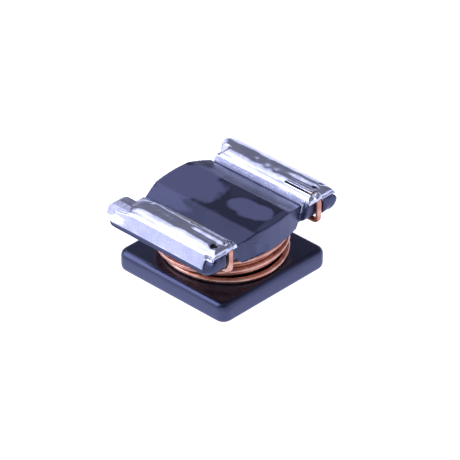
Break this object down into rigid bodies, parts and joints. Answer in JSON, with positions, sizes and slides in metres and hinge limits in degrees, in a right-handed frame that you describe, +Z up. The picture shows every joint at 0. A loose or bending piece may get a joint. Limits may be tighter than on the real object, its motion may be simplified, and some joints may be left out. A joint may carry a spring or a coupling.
{
  "type": "wire-wound chip inductor",
  "caption": "Low open drum-core chip inductor: copper wire on a ferrite spool with a square flange and two soldered terminals on top.",
  "frame": {"origin": "centre of the square flange's underside, on the surface that the part stands on with its terminals up", "axes": "+X along the part from the front terminal to the back one, +Z up to the terminals' solder faces; both wire ends are on the -Y side"},
  "size_m": [0.0032, 0.0026, 0.0016],
  "materials": {
    "ferrite": "pressed and sintered ferrite, dark blue-grey, satin",
    "copper_wire": "enamelled copper wire, clear coat",
    "silver_electrode": "fired silver layer, satin",
    "tin_solder": "reflowed tin solder, bright and slightly uneven"
  },
  "bodies": {
    "root": {"ferrite_core": "ferrite", "winding": "copper_wire", "front_electrode": "silver_electrode", "back_electrode": "silver_electrode", "front_solder": "tin_solder", "back_solder": "tin_solder"}
  },
  "joints": []
}
